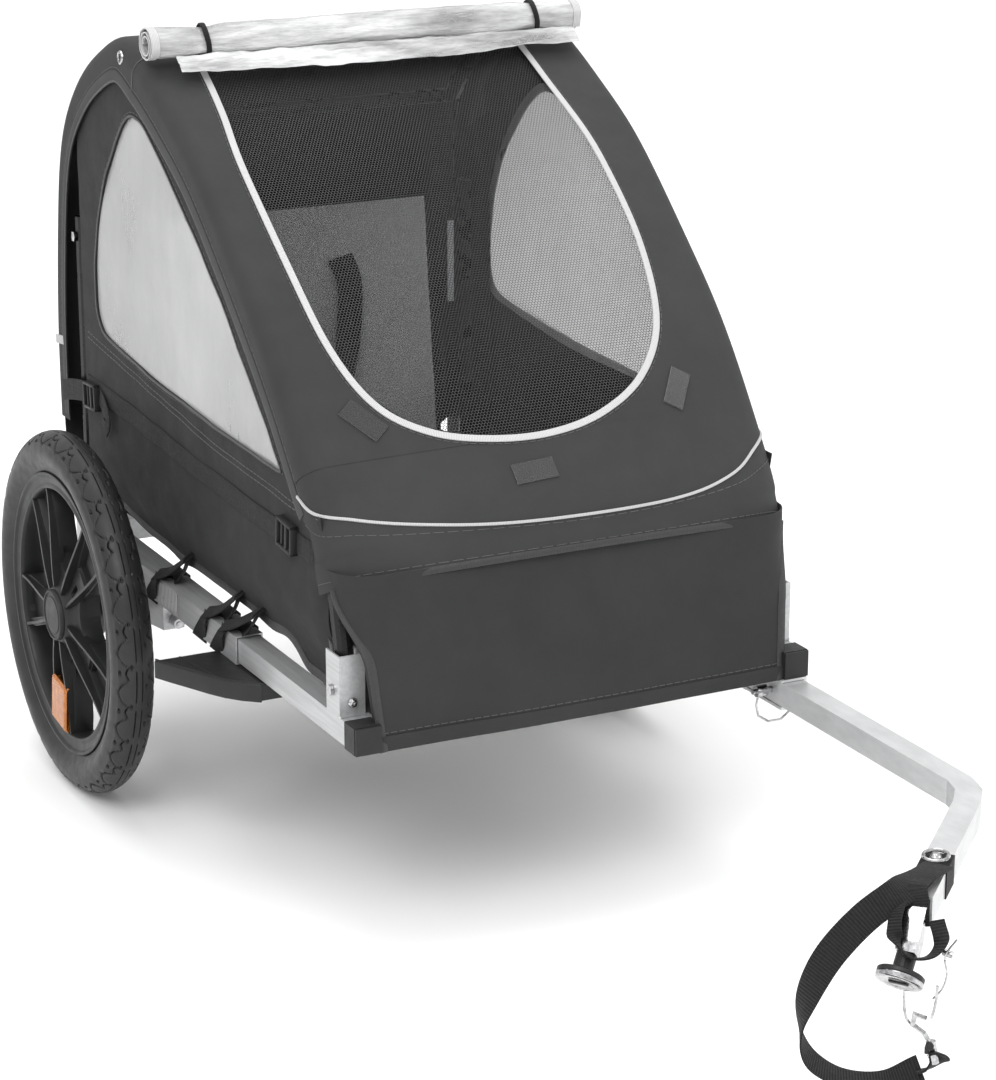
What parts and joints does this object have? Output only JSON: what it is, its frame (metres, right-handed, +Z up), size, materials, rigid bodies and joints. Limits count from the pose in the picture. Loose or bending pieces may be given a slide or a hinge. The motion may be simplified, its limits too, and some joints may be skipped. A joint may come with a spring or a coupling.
{
  "type": "child bicycle trailer",
  "caption": "Folding child bicycle trailer: canvas cabin on a tube cage, silver rail frame, spoked moulded wheels, cranked tow arm with hitch coupler and safety strap.",
  "frame": {"origin": "on the ground under the middle of the trailer's box, safety strap and snap hook left out", "axes": "+Z up, front and tow arm towards -Y, tow arm on the +X side, wheel axles along X"},
  "size_m": [0.6996, 1.3672, 0.843],
  "materials": {
    "silver": "satin, brushed along the tubes",
    "steel": "bright zinc or chrome plate",
    "black_tube": "satin black powder coat",
    "plastic": "moulded, lightly textured",
    "tyre": "matt, moulded tread",
    "rubber": "satin",
    "amber": "clear amber prisms",
    "canvas": "coated charcoal polyester weave",
    "vinyl": "clear film, glossy",
    "mesh": "open hexagonal mesh",
    "lining": "smooth grey nylon",
    "webbing": "ribbed polypropylene webbing"
  },
  "bodies": {
    "chassis": {"rail_left": "silver", "rail_right": "silver", "rail_sleeve_left": "silver", "rail_sleeve_right": "silver", "rail_cap_left": "plastic", "rail_cap_right": "plastic", "front_cross_tube": "silver", "rear_cross_tube": "silver", "front_post_left": "silver", "front_post_right": "silver", "pivot_pin_left": "steel", "pivot_pin_right": "steel", "upright_foot_left": "silver", "upright_foot_right": "silver", "axle_bracket_left": "silver", "axle_bracket_right": "silver", "axle_left": "steel", "axle_right": "steel", "wheel_guard_left": "plastic", "wheel_guard_right": "plastic", "arm_bracket": "silver", "arm_pivot_bolt": "steel", "floor_panel": "canvas", "front_panel": "canvas", "seat_base": "lining"},
    "cage": {"cage_hoop_left": "black_tube", "cage_hoop_right": "black_tube", "cage_top_bar": "black_tube", "cage_rear_bar": "black_tube", "canopy": "canvas", "window_screen": "mesh", "side_panel_left": "canvas", "side_panel_right": "canvas", "rolled_cover": "vinyl", "seat_back": "lining"},
    "tow_arm": {"tow_arm": "silver", "hitch_tongue": "steel", "safety_strap": "webbing", "snap_hook": "steel"},
    "arm_pin": {"arm_lock_pin": "steel"},
    "coupler": {"hitch_coupler": "rubber"},
    "hook_thumb": {"snap_hook_thumb": "plastic"},
    "upright_left": {"rear_upright_left": "black_tube", "lap_bolt_left": "steel"},
    "wheel_left": {"tyre_left": "tyre", "wheel_rim_left": "plastic", "wheel_bearing_inner_left": "steel", "wheel_bearing_outer_left": "steel", "hub_cap_left": "plastic", "reflector_left": "amber"},
    "axle_pin_left": {"axle_lock_pin_left": "steel"},
    "upright_right": {"rear_upright_right": "black_tube", "lap_bolt_right": "steel"},
    "wheel_right": {"tyre_right": "tyre", "wheel_rim_right": "plastic", "wheel_bearing_inner_right": "steel", "wheel_bearing_outer_right": "steel", "hub_cap_right": "plastic", "reflector_right": "amber"},
    "axle_pin_right": {"axle_lock_pin_right": "steel"}
  },
  "joints": [
    {"name": "cage_fold", "type": "hinge", "parent": "chassis", "child": "cage", "pos_m": [0, -0.0814, 0.272], "axis": [-1, 0, 0], "range_deg": [0, 38], "deforming": ["canopy", "window_screen", "side_panel_left", "side_panel_right", "seat_back"]},
    {"name": "upright_fold_left", "type": "hinge", "parent": "chassis", "child": "upright_left", "pos_m": [-0.237, 0.6166, 0.268], "axis": [1, 0, 0], "range_deg": [0, 86.4]},
    {"name": "wheel_spin_left", "type": "hinge", "parent": "chassis", "child": "wheel_left", "pos_m": [-0.3236, 0.4486, 0.2], "axis": [1, 0, 0], "continuous": true},
    {"name": "axle_pin_pull_left", "type": "slide", "parent": "chassis", "child": "axle_pin_left", "axis": [0, -1, 0], "range_m": [0, 0.008], "stiffness_N_per_m": 500, "springref_m": -0.004},
    {"name": "upright_fold_right", "type": "hinge", "parent": "chassis", "child": "upright_right", "pos_m": [0.237, 0.6166, 0.268], "axis": [1, 0, 0], "range_deg": [0, 86.4]},
    {"name": "wheel_spin_right", "type": "hinge", "parent": "chassis", "child": "wheel_right", "pos_m": [0.3236, 0.4486, 0.2], "axis": [1, 0, 0], "continuous": true},
    {"name": "axle_pin_pull_right", "type": "slide", "parent": "chassis", "child": "axle_pin_right", "axis": [0, -1, 0], "range_m": [0, 0.008], "stiffness_N_per_m": 500, "springref_m": -0.004},
    {"name": "tow_arm_swing", "type": "hinge", "parent": "chassis", "child": "tow_arm", "pos_m": [0.2332, -0.0514, 0.205], "axis": [0, 0, -1], "range_deg": [0, 75]},
    {"name": "arm_pin_pull", "type": "slide", "parent": "tow_arm", "child": "arm_pin", "axis": [-1, 0, 0], "range_m": [0, 0.03]},
    {"name": "coupler_swivel", "type": "hinge", "parent": "tow_arm", "child": "coupler", "pos_m": [0.03, -0.6514, 0.184], "axis": [-0.5523, -0.3832, -0.7404], "continuous": true},
    {"name": "hook_thumb_slide", "type": "slide", "parent": "tow_arm", "child": "hook_thumb", "axis": [0, 0, 1], "range_m": [0, 0.005], "stiffness_N_per_m": 150, "springref_m": -0.002}
  ],
  "couplings": [
    {"joint": "upright_fold_left", "follows": "cage_fold", "ratio": 2.27},
    {"joint": "upright_fold_right", "follows": "cage_fold", "ratio": 2.27}
  ]
}
